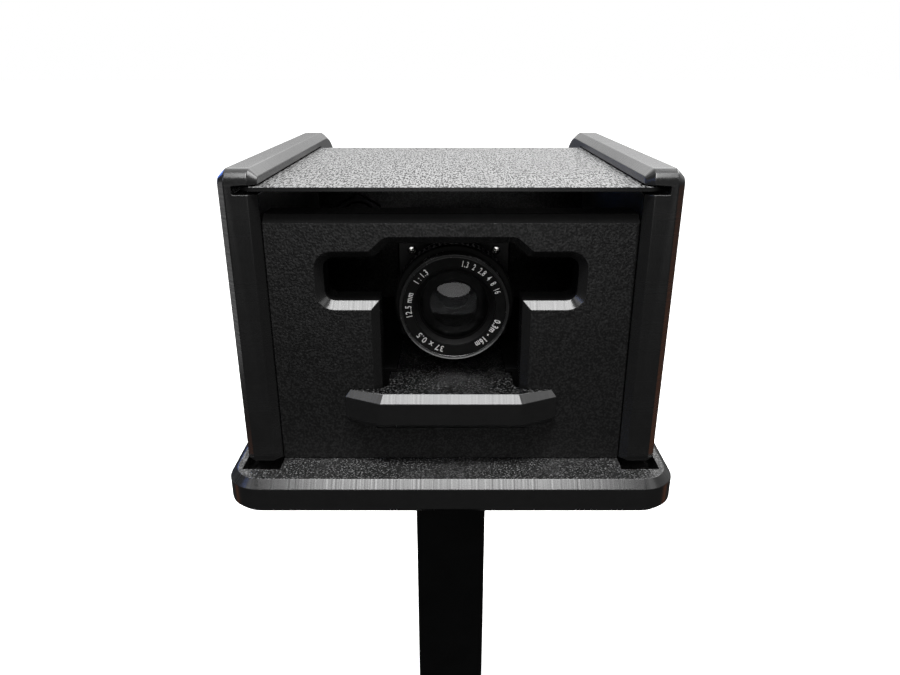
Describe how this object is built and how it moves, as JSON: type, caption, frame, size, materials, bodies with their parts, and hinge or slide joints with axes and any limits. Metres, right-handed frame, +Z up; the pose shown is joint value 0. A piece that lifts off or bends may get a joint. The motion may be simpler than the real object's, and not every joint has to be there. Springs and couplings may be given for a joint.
{
  "type": "camera in post-mounted housing",
  "caption": "Small television camera with a C-mount lens on a pull-out tray, in a black sheet-plastic housing with a sliding lid, on a square post with a foot plate.",
  "frame": {"origin": "on the floor, under the middle of the base plate and of the whole object's box", "axes": "+Z up along the post, the lens looks along -Y, +X to the right as seen from in front of the camera looking along +Y"},
  "size_m": [0.1576, 0.199, 0.4242],
  "materials": {
    "textured_sheet": "black sheet with a fine orange-peel texture, cut edges with fine cutter marks",
    "powder_coat": "matte black powder coat",
    "rubber": "matte",
    "dark_screws": "blackened",
    "bright_screws": "bright plated",
    "gland_nylon": "moulded nylon",
    "camera_paint": "satin black paint",
    "connector_metal": "nickel plated",
    "board": "green solder mask",
    "silicon": "glossy sensor face",
    "lens_black": "satin black anodised",
    "name_ring": "matte black with white filled figures",
    "blade_steel": "blackened thin steel",
    "lens_glass": "coated"
  },
  "bodies": {
    "housing": {"base_plate": "textured_sheet", "side_wall_left": "textured_sheet", "side_wall_right": "textured_sheet", "front_panel": "textured_sheet", "rear_panel": "textured_sheet", "rail_left": "textured_sheet", "rail_right": "textured_sheet", "wall_screw_1": "dark_screws", "wall_screw_2": "dark_screws", "wall_screw_3": "dark_screws", "wall_screw_4": "dark_screws", "front_panel_screw_1": "dark_screws", "front_panel_screw_2": "dark_screws", "rear_panel_screw_1": "dark_screws", "rear_panel_screw_2": "dark_screws", "cable_gland": "gland_nylon", "gland_cap": "gland_nylon", "gland_nut": "gland_nylon", "post": "powder_coat", "post_flange": "powder_coat", "flange_screw_1": "dark_screws", "flange_screw_2": "dark_screws", "flange_screw_3": "dark_screws", "flange_screw_4": "dark_screws", "foot_plate": "powder_coat", "rubber_foot_1": "rubber", "rubber_foot_2": "rubber", "rubber_foot_3": "rubber", "rubber_foot_4": "rubber"},
    "lid": {"lid": "textured_sheet"},
    "tray": {"camera_tray": "textured_sheet", "camera_foot": "camera_paint", "camera_screw": "dark_screws", "camera_case": "camera_paint", "camera_front_plate": "camera_paint", "front_plate_screw_1": "bright_screws", "front_plate_screw_2": "bright_screws", "front_plate_screw_3": "bright_screws", "front_plate_screw_4": "bright_screws", "camera_rear_plate": "camera_paint", "video_connector": "connector_metal", "power_connector": "gland_nylon", "sensor_board": "board", "image_sensor": "silicon", "lens_barrel": "lens_black", "rear_glass": "lens_glass"},
    "focus_ring": {"focus_ring": "lens_black"},
    "front_group": {"front_barrel": "lens_black", "name_ring": "name_ring", "front_glass": "lens_glass", "retaining_ring": "bright_screws"},
    "iris_ring": {"iris_ring": "lens_black"},
    "blade_1": {"iris_blade_1": "blade_steel"},
    "blade_2": {"iris_blade_2": "blade_steel"},
    "blade_3": {"iris_blade_3": "blade_steel"},
    "blade_4": {"iris_blade_4": "blade_steel"},
    "blade_5": {"iris_blade_5": "blade_steel"},
    "blade_6": {"iris_blade_6": "blade_steel"}
  },
  "joints": [
    {"name": "lid_slide", "type": "slide", "parent": "housing", "child": "lid", "axis": [0, -1, 0], "range_m": [0, 0.115]},
    {"name": "tray_slide", "type": "slide", "parent": "housing", "child": "tray", "axis": [0, -1, 0], "range_m": [0, 0.08]},
    {"name": "focus_turn", "type": "hinge", "parent": "tray", "child": "focus_ring", "pos_m": [0.0012, -0.0548, 0.3722], "axis": [0, -1, 0], "range_deg": [0, 150]},
    {"name": "focus_advance", "type": "slide", "parent": "tray", "child": "front_group", "axis": [0, -1, 0], "range_m": [0, 0.001]},
    {"name": "iris_turn", "type": "hinge", "parent": "tray", "child": "iris_ring", "pos_m": [0.0012, -0.046, 0.3722], "axis": [0, -1, 0], "range_deg": [0, 70]},
    {"name": "blade_1_turn", "type": "hinge", "parent": "tray", "child": "blade_1", "pos_m": [0.0094, -0.0479, 0.3722], "axis": [0, -1, 0], "range_deg": [0, 41]},
    {"name": "blade_2_turn", "type": "hinge", "parent": "tray", "child": "blade_2", "pos_m": [0.0053, -0.04725, 0.3793], "axis": [0, -1, 0], "range_deg": [0, 41]},
    {"name": "blade_3_turn", "type": "hinge", "parent": "tray", "child": "blade_3", "pos_m": [-0.0029, -0.0466, 0.3793], "axis": [0, -1, 0], "range_deg": [0, 41]},
    {"name": "blade_4_turn", "type": "hinge", "parent": "tray", "child": "blade_4", "pos_m": [-0.007, -0.04595, 0.3722], "axis": [0, -1, 0], "range_deg": [0, 41]},
    {"name": "blade_5_turn", "type": "hinge", "parent": "tray", "child": "blade_5", "pos_m": [-0.0029, -0.0453, 0.3651], "axis": [0, -1, 0], "range_deg": [0, 41]},
    {"name": "blade_6_turn", "type": "hinge", "parent": "tray", "child": "blade_6", "pos_m": [0.0053, -0.04465, 0.3651], "axis": [0, -1, 0], "range_deg": [0, 41]}
  ],
  "couplings": [
    {"joint": "focus_advance", "follows": "focus_turn", "m_per_rad": 0.00038},
    {"joint": "blade_1_turn", "follows": "iris_turn", "ratio": 0.5714},
    {"joint": "blade_2_turn", "follows": "iris_turn", "ratio": 0.5714},
    {"joint": "blade_3_turn", "follows": "iris_turn", "ratio": 0.5714},
    {"joint": "blade_4_turn", "follows": "iris_turn", "ratio": 0.5714},
    {"joint": "blade_5_turn", "follows": "iris_turn", "ratio": 0.5714},
    {"joint": "blade_6_turn", "follows": "iris_turn", "ratio": 0.5714}
  ]
}
